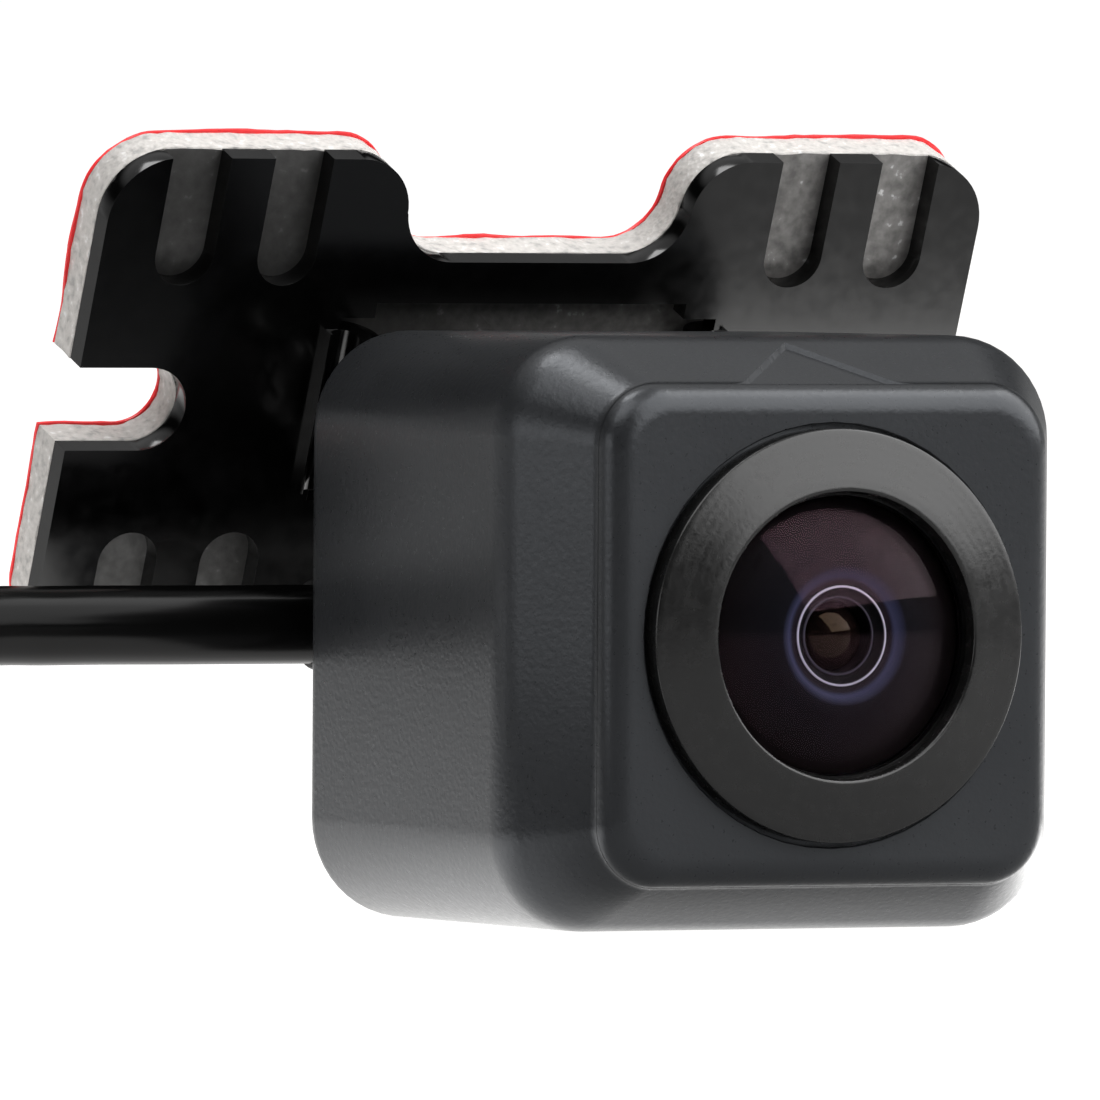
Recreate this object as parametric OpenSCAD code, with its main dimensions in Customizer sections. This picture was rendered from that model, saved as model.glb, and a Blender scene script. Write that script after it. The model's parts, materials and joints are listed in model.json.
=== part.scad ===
// Small square rear-view camera on a tilting stamped bracket with an adhesive pad.
// The camera stands on its flat bottom, the lens looks along -Y and +Z is up.

/* [Camera body] */
// Width of the main body
body_w = 24.3; // [23:0.1:26]
// Height of the main body
body_h = 23.4; // [22.6:0.1:25]
// Depth from the square face to the back of the housing
body_depth = 22.2; // [21.8:0.1:24]
// Corner radius of the main body
body_r = 4; // [3:0.1:5]
// Width and height of the square front block
block_w = 19.7; // [19:0.1:21]
// Depth at which the slope reaches the main body
slope_end = 4.8; // [4:0.1:6]

/* [Lens] */
// Outer radius of the bezel
bezel_r = 8.1; // [8:0.05:8.3]
// How far the bezel's rim stands out of the face
rim_proud = 0.6; // [0.4:0.05:0.9]
// How far the bezel's inner edge stands out of the face
lip_proud = 1.2; // [1:0.05:1.5]
// Radius of the front opening of the bezel
aperture_r = 5.6; // [5.5:0.05:5.8]
// How far the middle of the front lens stands out of the face
lens_proud = 1.62; // [1.4:0.02:1.9]

/* [Bracket] */
// Width of the plate
plate_w = 39.4; // [36:0.2:44]
// Height of the plate
plate_h = 21.8; // [21:0.1:24]
// Thickness of the steel
plate_t = 1.0; // [0.8:0.1:1.2]
// Lean of the plate towards the lens side at rest
plate_tilt = 22.6; // [10:0.1:30]
// Thickness of the foam pad
foam_t = 1.6; // [1:0.1:2]
// Thickness of the release liner
liner_t = 0.15; // [0.1:0.05:0.3]
// Height of the pivot above the bottom of the body
pivot_z = 18.97; // [18:0.01:20]
// Distance of the pivot behind the back of the housing
pivot_gap = 2.74; // [2.7:0.01:3.2]

/* [Cable] */
// Diameter of the cable
cable_d = 3.2; // [3:0.1:3.4]
// Height of the cable above the bottom of the body
cable_z = 11.6; // [11:0.1:12.5]

/* [Hidden] */
$fn = 64;
eps = 0.02;                     // overlap that joins shapes of one solid
axis_z = body_h / 2;            // lens axis height
plate_back = plate_t + foam_t + liner_t;
pivot_depth = body_depth + pivot_gap;
pivot_to_plate = 3.1;           // plate's front face to the pivot axis
bracket_reach = pivot_depth + (pivot_to_plate + plate_back) * cos(plate_tilt)
    + plate_h / 2 * sin(plate_tilt);
face_y = -(bracket_reach - lens_proud) / 2;   // puts the origin in the middle of the box
cable_r = cable_d / 2;
cable_depth = body_depth + 2.5; // cable axis, just behind the housing

// Inside of the housing
wall_ledge = 19.7;              // depth of the ledge that the gasket sits on
cover_front = 20.2;             // depth of the cover's inner side
cavity = [18.9, 18.2];
pocket = [20.7, 19.8];
front_pocket = 15.6;
face_wall = 2.0;
corner_screw = [8.2, 7.9];
lug_half = 6.2;                 // half width of the cover's pivot lug

// Bracket: window behind the camera, open-ended slots and ears
window = [14, 9.3];
slot_x = [11.45, 16];
slot_r = 1.3;
slot_depth = 5.5;
ear_t = 1.0;
ear_half = 3.5;
ear_tip_r = 2.4;

// Coil of put-away cable, beside the camera on the surface it stands on
coil_x = -60;
coil_y = face_y + 4;
coil_inner = 11.4;
coil_outer = 22.4;
coil_base = 0.6;
coil_top = 7.1;
tie_t = 0.6;
plug_y = coil_y + 13.2;         // connector lies across the top of the coil
plug_tail_x = coil_x + 7.5;
plug_z = coil_top + 3.8;
plug_nose = 15.5;               // where the nose of the connector starts

// Route of the cable from its boot to the coil, and from the coil to the connector
cable_route = [
    [-10.5, cable_z], [-16, cable_z], [-22, cable_z], [-26, 11.5], [-30, 10.6],
    [-34, 8.9], [-38, 6.7], [-42, 4.6], [-46, 3.1], [-50, 2.4], [-52, 2.2]];
tail_route = [
    [19.7, -9, 6.4], [20.6, -5, 7.4], [20.8, -1, 8.5], [20.3, 3, 9.4],
    [18.8, 6.8, 10.1], [16.3, 9.9, 10.6], [13.3, 11.9, 10.9], [10.4, 12.9, 10.9],
    [7.8, 13.2, 10.9], [7.5, 13.2, 10.9]];

// Places children drawn in the face plane: X right, Y up, Z out towards the viewer
module on_face(depth = 0) translate([0, face_y + depth, axis_z]) rotate([90, 0, 0]) children();

// Places children drawn looking at the plate's front: X right, Y up the plate, Z out
module on_plate(depth = 0)
    translate([0, face_y + pivot_depth, pivot_z])
        rotate([90 + plate_tilt, 0, 0])
            translate([0, 0, -pivot_to_plate - depth]) children();

// Places children along +X from the pivot axis
module on_pivot() translate([0, face_y + pivot_depth, pivot_z]) rotate([0, 90, 0]) children();

// Places children along the connector, with +Z from its tail to its nose
module on_plug(ahead = 0)
    translate([plug_tail_x - ahead, plug_y, plug_z]) rotate([0, -90, 0]) children();

module both_sides() for (side = [0, 1]) mirror([side, 0, 0]) children();

// Rectangle with true round corners, for solids that keep exact curves
module exact_rect(w, h, r) {
    square([w - 2 * r, h], center = true);
    square([w, h - 2 * r], center = true);
    for (x = [-1, 1], y = [-1, 1]) translate([x * (w / 2 - r), y * (h / 2 - r)]) circle(r);
}

// Slab of a rounded rectangle between two depths
module slab(from, to, w, h, r) on_face(to) linear_extrude(to - from) exact_rect(w, h, r);

// Points round a rectangle with rounded corners, seen from the front
function round_corner_points(w, h, r, steps = 8) = [
    for (q = [0:3], i = [0:steps])
        let (a = 90 * q + 90 * i / steps, x = q == 0 || q == 3 ? 1 : -1, y = q < 2 ? 1 : -1)
            [x * (w / 2 - r) + r * cos(a), y * (h / 2 - r) + r * sin(a)]];

// Closed skin through rounded rectangles, each given as [depth, width, height, corner radius]
module loft(sections) {
    rings = [for (s = sections) [for (p = round_corner_points(s[1], s[2], s[3])) [p[0], p[1], -s[0]]]];
    n = len(rings[0]);
    last = len(rings) - 1;
    walls = [for (k = [0:last - 1], i = [0:n - 1])
        let (a = k * n + i, b = k * n + (i + 1) % n)
            each [[a, b, b + n], [a, b + n, a + n]]];
    polyhedron([for (ring = rings) each ring], concat(
        walls, [[for (i = [n - 1:-1:0]) i]], [[for (i = [0:n - 1]) last * n + i]]));
}

// Square block with a rounded front edge, a slope out to the main body and a rounded back edge
module housing_outside() {
    fillet = 1.1;
    rear_fillet = 1.2;
    front = [for (a = [0:18:90]) let (inset = fillet * (1 - sin(a)))
        [fillet * (1 - cos(a)), block_w - 2 * inset, block_w - 2 * inset, 2.5 - 0.6 * inset]];
    back = [for (a = [0:18:90]) let (inset = rear_fillet * (1 - cos(a)))
        [body_depth - rear_fillet * (1 - sin(a)), body_w - 2 * inset, body_h - 2 * inset, body_r - inset]];
    difference() {
        on_face() loft(concat(front, [[slope_end, body_w, body_h, body_r]], back));
        up_mark();
    }
}

// Sunk triangle on the top slope that shows which way up the camera goes
module up_mark() {
    slope = atan2(body_h / 2 - block_w / 2, slope_end - 1.1);
    translate([0, face_y + 1.1, axis_z + block_w / 2])
        rotate([slope, 0, 0])
            translate([0, 0, -0.25]) linear_extrude(1) polygon([[-3.6, -0.1], [3.6, -0.1], [0, 3.45]]);
}

module corner_posts(r) for (x = [-1, 1], y = [-1, 1])
    translate([x * corner_screw[0], y * corner_screw[1]]) circle(r);

module front_housing() color("#2f3133") {
    difference() {
        housing_outside();
        on_face(face_wall + eps) cylinder(r = bezel_r - 0.9, h = 4);
        on_face(0.4) cylinder(r = bezel_r + 0.2, h = 2);
        slab(face_wall, 5.7, front_pocket, front_pocket, 1.5);
        difference() {
            slab(5.6, wall_ledge + eps, cavity[0], cavity[1], 2);
            on_face(wall_ledge) linear_extrude(wall_ledge - 14.6) corner_posts(2.3);
        }
        slab(wall_ledge, body_depth + 1, pocket[0], pocket[1], 2.4);
        on_face(wall_ledge + eps) linear_extrude(4.2) corner_posts(0.65);
    }
}

module rear_cover() color("#2b2d2f") difference() {
    union() {
        slab(cover_front, body_depth, pocket[0] - 0.2, pocket[1] - 0.2, 2.3);
        pivot_lug();
    }
    on_face(body_depth + 1) linear_extrude(4) corner_posts(0.9);
    on_face(body_depth + 0.1) linear_extrude(1.2) corner_posts(1.65);
    translate([-4, face_y + body_depth + 1, cable_z]) rotate([90, 0, 0]) cylinder(r = 2.25, h = 6);
    on_pivot() both_ends(1.8) cylinder(r = 0.9, h = 10);
}

module pivot_lug() {
    on_pivot() cylinder(r = 2.4, h = 2 * lug_half, center = true);
    translate([-lug_half, face_y + body_depth - 0.5, pivot_z - 2.4])
        cube([2 * lug_half, pivot_gap + 0.5, 4.8]);
}

// Repeats children at a distance both ways along the current Z axis
module both_ends(d) for (side = [0, 1]) mirror([0, 0, side]) translate([0, 0, d]) children();

module cover_gasket() color("#1c1c1e") on_face(cover_front) linear_extrude(cover_front - wall_ledge)
    difference() {
        exact_rect(pocket[0] - 0.3, pocket[1] - 0.3, 2.2);
        exact_rect(cavity[0] - 3.4, cavity[1] - 7.4, 1);
        exact_rect(cavity[0] - 7.4, cavity[1] - 3.4, 1);
        corner_posts(0.95);
    }

// Pan-head screw along Z with its head above zero and a cross recess in it
module cross_screw(r, length, head_r, head_h) {
    difference() {
        rotate_extrude() polygon([
            [0, -length], [r * 0.6, -length], [r, -length + 0.5], [r, 0], [head_r, 0],
            [head_r, head_h * 0.5], [head_r * 0.75, head_h * 0.9], [head_r * 0.4, head_h], [0, head_h]]);
        for (a = [0, 90]) rotate(a)
            translate([-head_r * 0.55, -0.16, head_h * 0.45]) cube([head_r * 1.1, 0.32, 2]);
    }
}

module cover_screws() color("#8f9296") on_face(body_depth - 1.1) mirror([0, 0, 1])
    for (x = [-1, 1], y = [-1, 1]) translate([x * corner_screw[0], y * corner_screw[1], 0])
        cross_screw(0.75, 5, 1.45, 0.9);

module lens_bezel() color("#26282a") on_face() rotate_extrude() polygon([
    [aperture_r, lip_proud], [aperture_r + 0.12, lip_proud + 0.03], [bezel_r - 0.15, rim_proud + 0.05],
    [bezel_r, rim_proud - 0.1], [bezel_r, -0.4], [7.1, -0.4], [7.1, -0.9], [6.6, -0.9],
    [6.6, -1.5], [7.1, -1.5], [7.1, -1.9], [6.1, -1.9], [6.1, 0.55], [aperture_r, 0.55]]);

module bezel_seal() color("#151516") on_face(1.2)
    rotate_extrude() translate([6.9, 0]) circle(0.29, $fn = 24);

// Threaded tube that carries the lenses
module lens_barrel() color("#1b1b1d") on_face() rotate_extrude() difference() {
    union() {
        polygon([
            [0, 0.5], [6, 0.5], [6, -3], [5.7, -3.2], [5.7, -8.6], [4.6, -8.8], [4.6, -9.5], [0, -9.5]]);
        for (i = [0:9]) translate([5.65, -3.4 - 0.5 * i])
            polygon([[0, 0.24], [0.32, 0.04], [0.32, -0.04], [0, -0.24]]);
    }
    polygon([
        [-1, 1], [5.5, 1], [5.5, -0.95], [4.7, -0.95], [4.7, -1.6], [3.55, -1.6], [3.55, -4.2],
        [2.2, -4.3], [2.2, -4.75], [3.55, -4.85], [3.55, -10], [-1, -10]]);
}

// Half profile of a lens: front sphere apex and radius, edge radius, edge front and back
function arc_points(z_apex, big_r, edge_r, bulge, steps = 12) =
    [for (i = [0:steps]) let (r = edge_r * i / steps)
        [r, z_apex - bulge * (big_r - sqrt(big_r * big_r - r * r))]];

module front_lens() color([0.25, 0.2, 0.3, 0.5]) on_face() rotate_extrude() polygon(concat(
    arc_points(lens_proud, 12, 5.45, 1),
    [[5.45, -0.9], [2.59, -0.9]],
    [for (a = [33.3:-5.55:0.1]) let (t = 90 - a) [3.1 * cos(t), -2.6 + 3.1 * sin(t)]],
    [[0, 0.5]]));

module second_lens() color([0.3, 0.25, 0.35, 0.5]) on_face() rotate_extrude() polygon(concat(
    arc_points(-1.75, 9, 3.5, 1), [[3.5, -3.7], [2.2, -3.7], [1.6, -3.15], [0.9, -2.85], [0, -2.75]]));

module aperture_stop() color("#0c0c0d") on_face()
    rotate_extrude() translate([0.6, -4.1]) square([2.9, 0.25]);

module third_lens() color([0.35, 0.4, 0.45, 0.5]) on_face() rotate_extrude() polygon(concat(
    arc_points(-4.95, 10, 3.5, 1), [[3.5, -6.0], [2.4, -6.1], [1.2, -6.35], [0, -6.45]]));

module lens_spacer() color("#121213") on_face() rotate_extrude() translate([2.7, -6.8]) square([0.8, 0.7]);

module fourth_lens() color([0.35, 0.42, 0.4, 0.5]) on_face() rotate_extrude() polygon(concat(
    arc_points(-6.6, 8, 2.6, 1), [[2.6, -7.1], [3.5, -7.1], [3.5, -8], [2, -8.15], [0, -8.25]]));

module lens_retainer() color("#19191a") on_face() rotate_extrude() translate([2.5, -9.3]) square([1, 1.1]);

module holder_holes() for (s = [-1, 1]) translate([6.6 * s, -4.6 * s]) children();

module lens_holder() color("#202022") difference() {
    union() {
        on_face(11.2) cylinder(r = 7.4, h = 8.5);
        slab(11.1, 12.6, 16.4, 16.4, 1);
    }
    on_face(9.6) cylinder(r = 6.05, h = 9);
    slab(9.5, 10.2, 7.8, 7.8, 0.3);
    slab(10.1, 10.7, 6.6, 6.6, 0.3);
    slab(10.6, 12.7, 9, 9, 0.5);
    on_face(13) holder_holes() cylinder(r = 0.75, h = 1.7);
}

module ir_filter() color([0.6, 0.8, 0.85, 0.5]) slab(9.75, 10.2, 7.6, 7.6, 0.2);

module image_sensor() color("#3a3d40") {
    slab(11.7, 12.6, 6.2, 5.6, 0.15);
    slab(11.6, 11.75, 4, 3.2, 0.1);
}

module board(from, to) difference() {
    slab(from, to, 17.8, 17.2, 1);
    on_face(to + 1) linear_extrude(to - from + 2) corner_posts(2.6);
}

module sensor_board() color("#1d4a2c") difference() {
    board(12.6, 13.6);
    on_face(15) holder_holes() cylinder(r = 0.85, h = 4);
}

module holder_screws() color("#9a9da1")
    on_face(13.6) mirror([0, 0, 1]) holder_holes() cross_screw(0.8, 2.2, 1.3, 0.6);

module board_header() color("#222224") slab_at(13.6, 16.2, 0, -5.5, 7.6, 2);

module power_board() color("#1d4a2c") board(16.2, 17.2);

// Rectangular block on a board, centred sideways and upwards from the lens axis
module slab_at(from, to, x, up, w, h)
    translate([x - w / 2, face_y + from, axis_z + up - h / 2]) cube([w, to - from, h]);

module board_components() {
    color("#1a1a1b") {
        slab_at(13.6, 14.6, 0, 1.5, 5, 5);
        slab_at(17.2, 18.2, -1, -5, 4.2, 3.6);
        slab_at(17.2, 18.6, 0.5, 5.6, 3, 3);
    }
    color("#b59a6a") {
        for (i = [0:3]) slab_at(13.6, 14.2, -5.6, -2.5 + 1.6 * i, 1.2, 0.7);
        for (i = [0:2]) slab_at(17.2, 17.8, 3.2, -3.8 - 1.2 * i, 1.2, 0.7);
    }
}

module cable_socket() color("#d8d4c8") difference() {
    slab_at(17.2, 19.5, 4.2, 0, 4.4, 5);
    slab_at(17.6, 19.1, 2.7, 0, 3, 3.8);
}

module socket_plug() color("#c9c5b8") slab_at(17.65, 19.05, 1.5, 0, 5.2, 3.7);

module inner_wires() {
    colours = ["#b01c1c", "#111111", "#c9b21c", "#d8d8d8"];
    for (i = [0:3]) color(colours[i])
        translate([-3, face_y + 18.5, cable_z - 1.2 + 0.8 * i]) rotate([0, 90, 0])
            cylinder(r = 0.32, h = 1.95, $fn = 24);
}

// Moulded right-angle boot that seals the cable into the cover
module cable_gland() color("#1a1a1b") {
    translate([-4, face_y + cable_depth, cable_z]) rotate([90, 0, 0])
        cylinder(r = 2.2, h = cable_depth - 17.9);
    translate([-4, face_y + cable_depth, cable_z]) sphere(r = 2.3);
    translate([-4, face_y + cable_depth, cable_z]) rotate([0, -90, 0]) rotate_extrude() polygon([
        [0, 0], [2.3, 0], [2.3, 2.6], [2.15, 2.7], [2.15, 3.1], [2.25, 3.2], [2.2, 4.2], [2.05, 4.3],
        [2.05, 4.7], [2.15, 4.8], [2.05, 5.8], [1.9, 6], [1.8, 6.5], [0, 6.5]]);
}

function unit(v) = v / norm(v);

// Ring of points round each point of a path, square to the path
function ring(p, ahead, r, sides) = let (side = unit(cross(ahead, [0, 0, 1])), up = cross(side, ahead))
    [for (i = [0:sides - 1]) p + r * (side * cos(360 * i / sides) + up * sin(360 * i / sides))];

module tube(path, r, sides = 8) {
    n = len(path);
    aheads = [for (i = [0:n - 1]) unit(path[min(i + 1, n - 1)] - path[max(i - 1, 0)])];
    points = [for (i = [0:n - 1]) each ring(path[i], aheads[i], r, sides)];
    walls = [for (i = [0:n - 2], j = [0:sides - 1]) let (a = i * sides + j, b = i * sides + (j + 1) % sides)
        [a, b, b + sides, a + sides]];
    polyhedron(points, concat(walls, [[for (j = [sides - 1:-1:0]) j]],
        [[for (j = [0:sides - 1]) (n - 1) * sides + j]]));
}

module cable() color("#0e0e10") tube([for (p = cable_route) [p[0], face_y + cable_depth, p[1]]], cable_r);

module cable_coil() color("#0e0e10") translate([coil_x, coil_y, 0]) rotate_extrude() polygon([
    [coil_inner, coil_base + 1], [coil_inner + 1, coil_base], [coil_outer - 1, coil_base],
    [coil_outer, coil_base + 1], [coil_outer, coil_top - 1], [coil_outer - 1, coil_top],
    [coil_inner + 1, coil_top], [coil_inner, coil_top - 1]]);

module cable_tail() color("#0e0e10") translate([coil_x, coil_y, 0]) tube(tail_route, cable_r);

// Strap round the turns of the coil, on the side away from the connector
module cable_tie() color("#3a3c40") translate([coil_x, coil_y, 0]) rotate(225) difference() {
    across = coil_outer - coil_inner + 0.3;
    translate([coil_inner - 0.2 - tie_t, -2, 0]) cube([across + 2 * tie_t, 4, coil_top + tie_t]);
    translate([coil_inner - 0.2, -3, tie_t]) cube([across, 6, coil_top - tie_t]);
}

module connector_relief() color("#17171a") on_plug() rotate_extrude() polygon([
    [0, 0], [1.9, 0], [2.1, 1], [2.3, 1.1], [2.3, 1.6], [2.2, 1.7], [2.5, 2.7], [2.7, 2.8], [2.7, 3.3],
    [2.6, 3.4], [2.9, 4.4], [3.1, 4.5], [3.1, 5], [3, 5.1], [3.2, 6], [0, 6]]);

module connector_body() color("#202226") on_plug() difference() {
    rotate_extrude() polygon([
        [0, 6], [3.4, 6], [3.8, 6.6], [3.8, 12.6], [3.6, 13], [3.6, 15.2], [3.4, plug_nose],
        [3.05, plug_nose],
        [3.05, 16.4], [2.6, 16.4], [2.6, 17.2], [3.05, 17.2], [3.05, 23.2], [2.8, 23.5], [2.1, 23.5],
        [2.1, 18], [0, 18]]);
    for (a = [0:45:315]) rotate(a) translate([3.8, 0, 6.9]) cylinder(r = 0.45, h = 5.4, $fn = 24);
}

module connector_seal() color("#b3261e") on_plug(16.8)
    rotate_extrude() translate([2.85, 0]) circle(0.24, $fn = 24);

module connector_pins() color("#c8a24a") on_plug(18)
    for (a = [45:90:315]) rotate(a) translate([1.1, 0, 0]) cylinder(r = 0.3, h = 4.2, $fn = 24);

// Outline of the plate and the pad: rectangle with notched sides and scooped top and bottom
module plate_outline() difference() {
    exact_rect(plate_w, plate_h, 2.8);
    for (up = [0, 1]) mirror([0, up]) top_scoop();
    both_sides() {
        translate([plate_w / 2 - 3.2, 0]) circle(1.8);
        translate([plate_w / 2 - 3.2, -1.8]) square([5, 3.6]);
    }
}

// Scoop with a flat floor and an S-shaped side each way
module top_scoop() {
    r = 2.4;
    floor_half = 4;
    floor_v = plate_h / 2 - 4.45;
    wall = floor_half + r;
    translate([-floor_half, floor_v]) square([2 * floor_half, 6]);
    both_sides() {
        translate([floor_half, floor_v + r]) circle(r);
        translate([floor_half - 0.5, floor_v + r]) square([r + 0.5, 4]);
        difference() {
            translate([wall - eps, plate_h / 2 - r]) square([r + eps, r + 1]);
            translate([wall + r, plate_h / 2 - r]) circle(r);
        }
    }
}

module slots() both_sides() for (x = slot_x, up = [0, 1]) mirror([0, up])
    translate([x, plate_h / 2 - slot_depth + slot_r]) {
        circle(slot_r);
        translate([-slot_r, 0]) square([2 * slot_r, slot_depth]);
    }

// Steel plate with two ears bent forwards from the sides of its window
module bracket_plate() color("#0b0b0d") difference() {
    union() {
        on_plate(plate_t) linear_extrude(plate_t) difference() {
            plate_outline();
            slots();
            square([window[0] + 3, window[1]], center = true);
        }
        on_plate(plate_t) linear_extrude(plate_t) both_sides() {
            translate([window[0] / 2 + 1.5 - eps, -window[1] / 2 - eps]) square([1, window[1] + 2 * eps]);
            for (up = [0, 1]) mirror([0, up])
                translate([window[0] / 2, ear_half + 0.5]) square([1.6, window[1] / 2 - ear_half - 0.4]);
        }
        on_plate() both_sides() ear();
    }
    on_pivot() cylinder(r = 1.05, h = 40, center = true);
}

// Ear with its bend: drawn with the fold along the plate's height
module ear() {
    bend = 1.5;
    translate([window[0] / 2, ear_half, 0]) rotate([90, 0, 0]) linear_extrude(2 * ear_half) difference() {
        union() {
            translate([bend, -plate_t + bend]) circle(bend);
            translate([0, -plate_t + bend]) square([ear_t, 0.6]);
            translate([bend, -plate_t]) square([0.6, plate_t]);
        }
        translate([bend, -plate_t + bend]) circle(bend - ear_t);
        translate([bend, -plate_t + bend]) square([3, 3]);
        translate([ear_t, 0.6]) square([3, 3]);
        translate([bend + 0.6, -2]) square([3, 3]);
    }
    translate([window[0] / 2, 0, pivot_to_plate]) rotate([0, 90, 0]) cylinder(r = ear_tip_r, h = ear_t);
    translate([window[0] / 2, 0, 0]) rotate([90, 0, 90]) linear_extrude(ear_t)
        polygon([[-ear_half, 0.5], [ear_half, 0.5], [ear_half, 1.2], [2.28, pivot_to_plate + 0.75],
            [-2.28, pivot_to_plate + 0.75], [-ear_half, 1.2]]);
}

module foam_tape() color("#8b8d90") on_plate(plate_t + foam_t) linear_extrude(foam_t) plate_outline();

module release_liner() color("#e0222a") on_plate(plate_back) linear_extrude(liner_t) plate_outline();

module pivot_screws() color("#3c3d40") on_pivot() both_ends(8.5) cross_screw(1, 5.5, 1.9, 1.1);

module spring_washers() color("#7d8084") on_pivot() both_ends(8.05) difference() {
    cylinder(r = 1.9, h = 0.45);
    translate([0, 0, -1]) cylinder(r = 1.04, h = 3);
}

module friction_washers() color("#d9d6cb") on_pivot() both_ends(lug_half) difference() {
    cylinder(r = 2.3, h = 0.75);
    translate([0, 0, -1]) cylinder(r = 1.04, h = 3);
}

front_housing();
rear_cover();
cover_gasket();
cover_screws();
lens_bezel();
bezel_seal();
lens_barrel();
front_lens();
second_lens();
aperture_stop();
third_lens();
lens_spacer();
fourth_lens();
lens_retainer();
lens_holder();
ir_filter();
image_sensor();
sensor_board();
holder_screws();
board_header();
power_board();
board_components();
cable_socket();
socket_plug();
inner_wires();
cable_gland();
cable();
cable_coil();
cable_tail();
cable_tie();
connector_relief();
connector_body();
connector_seal();
connector_pins();
bracket_plate();
foam_tape();
release_liner();
pivot_screws();
spring_washers();
friction_washers();
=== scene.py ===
import json
import math

import bmesh
import bpy
from mathutils import Matrix, Vector, noise

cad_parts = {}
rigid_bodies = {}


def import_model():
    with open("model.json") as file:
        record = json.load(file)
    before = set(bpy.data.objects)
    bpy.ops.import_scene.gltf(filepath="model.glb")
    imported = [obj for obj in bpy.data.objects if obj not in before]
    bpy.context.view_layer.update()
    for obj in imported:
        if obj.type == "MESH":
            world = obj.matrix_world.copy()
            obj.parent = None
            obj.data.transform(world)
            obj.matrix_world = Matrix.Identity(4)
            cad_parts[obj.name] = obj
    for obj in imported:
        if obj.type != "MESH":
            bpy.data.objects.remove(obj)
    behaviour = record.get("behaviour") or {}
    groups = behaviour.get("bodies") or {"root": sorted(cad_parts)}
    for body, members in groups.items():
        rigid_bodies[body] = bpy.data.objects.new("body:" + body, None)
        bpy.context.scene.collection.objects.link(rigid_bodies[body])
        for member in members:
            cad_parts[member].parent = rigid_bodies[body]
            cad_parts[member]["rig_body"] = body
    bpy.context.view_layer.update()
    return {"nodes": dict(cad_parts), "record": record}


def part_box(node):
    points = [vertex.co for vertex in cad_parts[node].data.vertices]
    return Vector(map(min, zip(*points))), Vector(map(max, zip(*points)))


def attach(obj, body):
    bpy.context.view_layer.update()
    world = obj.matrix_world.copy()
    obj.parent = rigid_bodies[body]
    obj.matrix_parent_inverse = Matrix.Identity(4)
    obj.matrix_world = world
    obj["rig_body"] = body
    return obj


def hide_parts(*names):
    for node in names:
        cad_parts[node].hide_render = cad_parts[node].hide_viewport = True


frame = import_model()

# ------------------------------------------------------------------ measures
# Shapes are written in millimetres and turned into metres when a mesh is made.
MM = 0.001


def in_mm(corner):
    """A corner from the frame, in millimetres."""
    return Vector(corner) / MM


housing_low, housing_high = map(in_mm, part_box("front_housing"))
bezel_low, bezel_high = map(in_mm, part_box("lens_bezel"))
lens_low, lens_high = map(in_mm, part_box("front_lens"))
coil_low, coil_high = map(in_mm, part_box("cable_coil"))

BODY_HALF_W = (housing_high.x - housing_low.x) / 2
BODY_HALF_H = (housing_high.z - housing_low.z) / 2
FACE_Y = housing_low.y
BACK_Y = housing_high.y
BODY_DEPTH = BACK_Y - FACE_Y
AXIS_Z = (housing_high.z + housing_low.z) / 2

# ------------------------------------------------------------------ camera
VIEW_YAW = math.radians(27.08)
VIEW_PITCH = math.radians(1.12)
VIEW_ROLL = math.radians(0.37)
VIEW_DISTANCE = 687.2
VIEW_ACROSS = 11.06
VIEW_DOWN = 3.34
LENS_MM = 575.7


def make_camera():
    """Camera at the viewing angle, aimed at the middle of the square face and slid sideways."""
    turned = Matrix.Rotation(VIEW_PITCH, 3, "X") @ Matrix.Rotation(VIEW_YAW, 3, "Z")
    side, ahead, up = turned[0], turned[1], turned[2]
    right = math.cos(VIEW_ROLL) * side + math.sin(VIEW_ROLL) * up
    top = math.cos(VIEW_ROLL) * up - math.sin(VIEW_ROLL) * side
    target = Vector((0, FACE_Y, AXIS_Z))
    place = target - VIEW_ACROSS * right + VIEW_DOWN * top - VIEW_DISTANCE * ahead
    data = bpy.data.cameras.new("photo_camera")
    data.sensor_width = 36
    data.lens = LENS_MM
    data.clip_start = 0.01
    data.clip_end = 20
    camera = bpy.data.objects.new("photo_camera", data)
    bpy.context.scene.collection.objects.link(camera)
    turn = Matrix((right, top, -ahead)).transposed().to_4x4()
    camera.matrix_world = Matrix.Translation(place * MM) @ turn
    bpy.context.scene.camera = camera


# ------------------------------------------------------------------ meshes
LATHE_STEPS = 144
FLAT_ANGLE = math.radians(0.6)    # CAD facets closer than this are one flat
HARD_ANGLE = math.radians(28)     # CAD edges sharper than this are rounded


def new_object(name, data, body):
    """Links a new piece and makes it ride on a body."""
    piece = bpy.data.objects.new(name, data)
    bpy.context.scene.collection.objects.link(piece)
    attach(piece, body)
    return piece


def mesh_piece(name, points, faces, body="camera", sharp=35):
    """A piece from points in millimetres. Edges sharper than the angle stay crisp."""
    mesh = bpy.data.meshes.new(name)
    mesh.from_pydata([Vector(p) * MM for p in points], [], faces)
    mesh.validate()
    form = bmesh.new()
    form.from_mesh(mesh)
    bmesh.ops.remove_doubles(form, verts=form.verts, dist=1e-7)
    bmesh.ops.recalc_face_normals(form, faces=form.faces)
    caps = [f for f in form.faces if len(f.verts) > 4]
    bmesh.ops.triangulate(form, faces=caps, ngon_method="EAR_CLIP")
    form.to_mesh(mesh)
    form.free()
    soften(mesh, sharp)
    return new_object(name, mesh, body)


def soften(mesh, sharp):
    mesh.shade_smooth()
    mesh.set_sharp_from_angle(angle=math.radians(sharp))


def keep_flats_flat(piece):
    """Weights the normals by face size, so that flats beside a bevel shade flat."""
    weighted = piece.modifiers.new("flat_faces", "WEIGHTED_NORMAL")
    weighted.keep_sharp = True


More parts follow.
